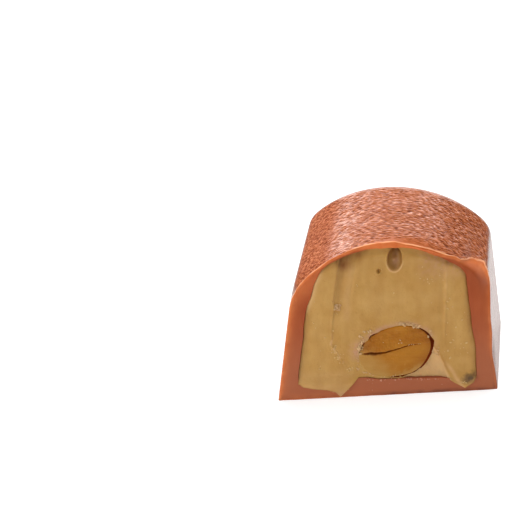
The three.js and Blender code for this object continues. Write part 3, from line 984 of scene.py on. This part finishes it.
for part in np.linspace(0.01, 1, KERNEL_RINGS):
    ring = kernel_ring(part * (1 - KERNEL_EDGE_SHARE))
    rim_depth = kernel_face(*ring.T) - LAPPED_RISE * part**4 * (1 - edge_open)
    add_kernel_loop(ring, rim_depth, part**6 * edge_open, 0)
drop = KERNEL_EDGE * (0.4 + 0.6 * edge_open)
for angle in (0.4, 0.8, 1.2, math.pi / 2):
    ring = kernel_ring(1 - KERNEL_EDGE_SHARE * (1 - math.sin(angle)))
    add_kernel_loop(ring, rim_depth + drop * (1 - math.cos(angle)), edge_open, edge_open * (angle > 1.2))
for outline, behind in ((kernel_edge, 0.0), (rind_edge, 0.05), (kernel_edge, 0.2)):
    add_kernel_loop(outline, rim_depth + RIND_SETBACK + behind, edge_open, edge_open)
side_depth = kernel_loops[-1][:, 1] + KERNEL_EDGE
for depth in np.linspace(0.8, KERNEL_HALF_DEPTH + 0.4, 14):
    dome_share = max(0, depth - KERNEL_SETBACK) / KERNEL_HALF_DEPTH
    ring = kernel_ring(math.sqrt(max(0.0004, 1 - dome_share**2)))
    ring_depth = np.maximum(knife(ring[:, 0]) + KERNEL_RECESS + depth, side_depth)
    add_kernel_loop(ring, ring_depth, edge_open, edge_open)

nut = skin("hazelnut_kernel", kernel_loops, kernel_marks)
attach(nut, "root")
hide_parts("nut")

kernel = new_finish("hazelnut_kernel_finish")
flesh = shades(kernel, speckle(kernel, 1.6, 4.0, (1.6, 1, 1)), (0.3, (152, 88, 12)), (0.7, (178, 114, 28)))
flesh = layered(
    kernel, flesh,
    (mark_of(kernel, "lower", 0.3), (184, 124, 40)),
    (spread(kernel, speckle(kernel, 0.35, 4.0), 0.0, 0.35, 0.58, 0.78), (196, 138, 66)),
    (mark_of(kernel, "edge", 0.35), (120, 54, 12)),
    (mark_of(kernel, "smear", 0.85), (184, 140, 74)),
    (mark_of(kernel, "slope", 0.8), (166, 90, 22)),
    (mark_of(kernel, "split", 0.9), (96, 34, 2)),
    (mark_of(kernel, "rind"), (112, 38, 2)))
dull_places = joined(kernel, "MAXIMUM", mark_of(kernel, "rind"), mark_of(kernel, "split"))
kernel_dullness = spread(kernel, speckle(kernel, 0.7, 4.0), 0.38, 0.58)
feed(kernel, Base_Color=flesh,
     Roughness=joined(kernel, "MAXIMUM", kernel_dullness, dull_places),
     Normal=bumpy(kernel, speckle(kernel, 0.2, 4.0), 0.35, 0.06),
     Subsurface_Weight=0.2, Subsurface_Radius=(1.0, 0.45, 0.15), Subsurface_Scale=0.9 * MM,
     Specular_IOR_Level=0.25, Specular_Tint=(1.0, 0.76, 0.5, 1.0))
nut.data.materials.append(kernel)

# Crumbs
# Bits that the blade broke off and pressed on to the cut: pale nut crumbs round the kernel, flecks of cream
# along the knife marks, and chocolate crumbs along the top of the base.

CRUMB_SPOKES = 12
CRUMB_RINGS = 8
CRUMB_POLE = 0.15
CRUMB_SHAPE = np.array((1.3, 0.4, 0.8))
CRUMB_PROUD = 0.15
NUT_FACE_SHARE = 0.96
crumb_draw = np.random.default_rng(7)


def crumb_lump(place, size):
    """One crumb as loops from pole to pole, uneven and a little flat against the cut."""
    shift = crumb_draw.uniform(0, 40, 3)
    turn = crumb_draw.uniform(0, math.pi)
    c, s = math.cos(turn), math.sin(turn)
    swing = 2 * math.pi * np.arange(CRUMB_SPOKES) / CRUMB_SPOKES
    loops = []
    for tilt in np.linspace(CRUMB_POLE, math.pi - CRUMB_POLE, CRUMB_RINGS):
        height = np.full(CRUMB_SPOKES, np.cos(tilt))
        ball = np.column_stack([np.sin(tilt) * np.cos(swing), height, np.sin(tilt) * np.sin(swing)])
        lump = ball * (1 + 0.45 * rough(0.8, *(ball + shift).T))[:, None]
        x, y, z = (lump * size * CRUMB_SHAPE).T
        loops.append(place + np.column_stack([c * x - s * z, y, s * x + c * z]))
    return loops


def nut_or_cream(x, z):
    """How far back the cut stands, on the kernel or on the cream round it."""
    return np.where(nut_share(x, z) < NUT_FACE_SHARE, kernel_face(x, z), cream_face(x, z))


def crumb_group(name, groups, stand):
    """One piece of all crumbs of a kind. Each group has a place, a spread, a count and its largest size."""
    lumps = []
    for middle, reach, count, largest in groups:
        for _ in range(count):
            x, z = np.array(middle) + crumb_draw.uniform(-1, 1, 2) * reach
            size = largest * crumb_draw.uniform(0.5, 1.0)**2
            depth = stand(np.array([x]), np.array([z]))[0] - CRUMB_PROUD * size
            lumps.append(skin(name, crumb_lump(np.array([x, depth, z]), size), {}))
    with bpy.context.temp_override(active_object=lumps[0], selected_editable_objects=lumps):
        bpy.ops.object.join()
    return lumps[0]


nut_crumbs = crumb_group("nut_crumbs", [
    ((1.3, 9.85), (0.5, 0.14), 10, 0.2),
    ((2.3, 9.7), (0.6, 0.16), 14, 0.19),
    ((3.2, 9.35), (0.4, 0.2), 9, 0.17),
    ((4.7, 8.2), (0.3, 0.5), 7, 0.14),
    ((-2.4, 8.8), (0.6, 0.25), 9, 0.16),
    ((-3.1, 7.9), (0.4, 0.5), 9, 0.17),
    ((-3.4, 7.0), (0.35, 0.5), 15, 0.19),
    ((-3.4, 6.2), (0.25, 0.4), 8, 0.17),
    ((-3.6, 4.6), (0.18, 0.9), 9, 0.12),
    ((-2.4, 3.1), (0.8, 0.3), 9, 0.12),
    ((0.6, 2.6), (1.6, 0.14), 10, 0.11),
    ((5.6, 5.6), (0.35, 0.7), 12, 0.13),
    ((2.6, 6.9), (0.3, 0.08), 5, 0.12),
    ((3.6, 6.95), (0.2, 0.05), 3, 0.08),
    ((1.2, 7.4), (0.3, 0.35), 4, 0.09),
    ((-0.6, 7.3), (0.1, 0.1), 1, 0.1),
    ((-5.98, 12.44), (0.34, 0.36), 24, 0.19),
], nut_or_cream)
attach(nut_crumbs, "root")
cream_flecks = crumb_group("cream_flecks", [
    ((-6.3, 6.8), (0.4, 0.6), 12, 0.12),
    ((-5.6, 5.4), (0.4, 0.7), 12, 0.13),
    ((-4.6, 3.9), (0.4, 0.5), 8, 0.12),
    ((5.0, 16.4), (2.0, 1.4), 12, 0.11),
    ((8.0, 6.5), (1.3, 3.5), 12, 0.14),
    ((7.4, 10.0), (1.6, 5.0), 10, 0.13),
    ((9.0, 1.55), (0.5, 0.35), 9, 0.1),
    ((-7.0, 9.0), (1.8, 5.0), 12, 0.12),
    ((0.5, 13.0), (5.0, 3.0), 10, 0.1),
], cream_face)
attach(cream_flecks, "root")
base_crumbs = crumb_group("chocolate_crumbs", [
    ((0.6, 2.2), (3.4, 0.14), 18, 0.13),
    ((5.2, 1.95), (1.4, 0.14), 9, 0.12),
    ((0.0, 1.2), (8.0, 0.7), 12, 0.07),
], shell_cut)
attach(base_crumbs, "root")


def finish_crumbs(crumbs, name, dark, light, dullness, softness):
    """Gives crumbs two colours, a range of dullness and a softness to light."""
    finish = new_finish(name)
    feed(finish,
         Base_Color=shades(finish, speckle(finish, 0.4), (0.3, dark), (0.7, light)),
         Roughness=spread(finish, speckle(finish, 0.2), *dullness),
         Subsurface_Weight=softness, Subsurface_Radius=(1.0, 0.5, 0.2), Subsurface_Scale=0.5 * MM)
    crumbs.data.materials.append(finish)


finish_crumbs(nut_crumbs, "nut_crumb_finish", (182, 134, 82), (214, 170, 118), (0.4, 0.6), 0.2)
finish_crumbs(cream_flecks, "cream_fleck_finish", (190, 146, 80), (214, 174, 108), (0.35, 0.55), 0.2)
finish_crumbs(base_crumbs, "chocolate_crumb_finish", (178, 104, 72), (206, 142, 112), (0.35, 0.55), 0.0)

# Table and light
# A white table top in a bright white room, darker on the left. Four soft lamps stand round it: one in front
# on the left, a wide one behind, one overhead, and a small one at the back left for gloss on the crown.

TABLE_HALF = 0.7
TABLE_GLOW = 0.65
table_corners = [(sx * TABLE_HALF, sy * TABLE_HALF, 0) for sx, sy in ((-1, -1), (1, -1), (1, 1), (-1, 1))]
table_mesh = bpy.data.meshes.new("table")
table_mesh.from_pydata(table_corners, [], [(0, 1, 2, 3)])
table = bpy.data.objects.new("table", table_mesh)
bpy.context.scene.collection.objects.link(table)
white = new_finish("white_table_finish")
white_tone = shades(white, speckle(white, 40.0, 2.0), (0.3, (186, 186, 186)), (0.7, (190, 190, 190)))
feed(white, Base_Color=white_tone, Roughness=0.7,
     Emission_Color=(1, 1, 1, 1), Emission_Strength=TABLE_GLOW)
table_mesh.materials.append(white)


def soft_lamp(name, place, aim, width, height, power):
    """Soft studio lamp turned towards a point."""
    lamp = bpy.data.lights.new(name, "AREA")
    lamp.shape = "RECTANGLE"
    lamp.size = width
    lamp.size_y = height
    lamp.energy = power
    stand = bpy.data.objects.new(name, lamp)
    turn = (Vector(aim) - Vector(place)).to_track_quat("-Z", "Y")
    stand.matrix_world = Matrix.Translation(place) @ turn.to_matrix().to_4x4()
    bpy.context.scene.collection.objects.link(stand)


soft_lamp("front_left_lamp", (-0.32, -0.30, 0.16), (0, 0, 0.01), 0.22, 0.22, 0.68)
soft_lamp("back_lamp", (0.04, 0.4, 0.15), (0, 0, 0.02), 0.36, 0.14, 1.1)
soft_lamp("top_lamp", (0.0, 0.05, 0.42), (0, 0, 0.02), 0.3, 0.3, 1.5)
soft_lamp("key_lamp", (-0.24, 0.36, 0.2), (0, 0, 0.02), 0.16, 0.16, 1.3)
room = bpy.data.worlds.new("room")
bpy.context.scene.world = room
room.use_nodes = True
room_light = room.node_tree.nodes["Background"]
direction = finish_node(room, "TexCoord", {})
sideways = finish_node(room, "SeparateXYZ", {"Vector": direction.outputs["Generated"]})
back_wall = spread(room, sideways.outputs["Y"], 0.32, 0.3, -0.2, 0.9)
left_shade = spread(room, sideways.outputs["X"], 0.3, 1.0, -0.9, 0.2)
set_inputs(room, room_light, {"Color": (1, 1, 1, 1), "Strength": times(room, back_wall, left_shade)})

# Camera
# A long lens a little above the table, looking at the cut face from slightly right of its middle.
# Colours are shown as they are, with no film curve.

CAMERA_PLACE = (0.01307, -0.18459, 0.11518)
CAMERA_TURN = math.radians(8.926)
CAMERA_FALL = math.radians(28.729)
CAMERA_ROLL = math.radians(-1.714)
lens = bpy.data.cameras.new("camera")
lens.sensor_width = 36.0
lens.lens = 119.06
lens.clip_start = 0.01
camera = bpy.data.objects.new("camera", lens)
camera.matrix_world = (Matrix.Translation(CAMERA_PLACE)
                       @ Matrix.Rotation(CAMERA_TURN, 4, "Z")
                       @ Matrix.Rotation(math.pi / 2 - CAMERA_FALL, 4, "X")
                       @ Matrix.Rotation(CAMERA_ROLL, 4, "Z"))
bpy.context.scene.collection.objects.link(camera)
bpy.context.scene.camera = camera
bpy.context.scene.view_settings.view_transform = "Standard"
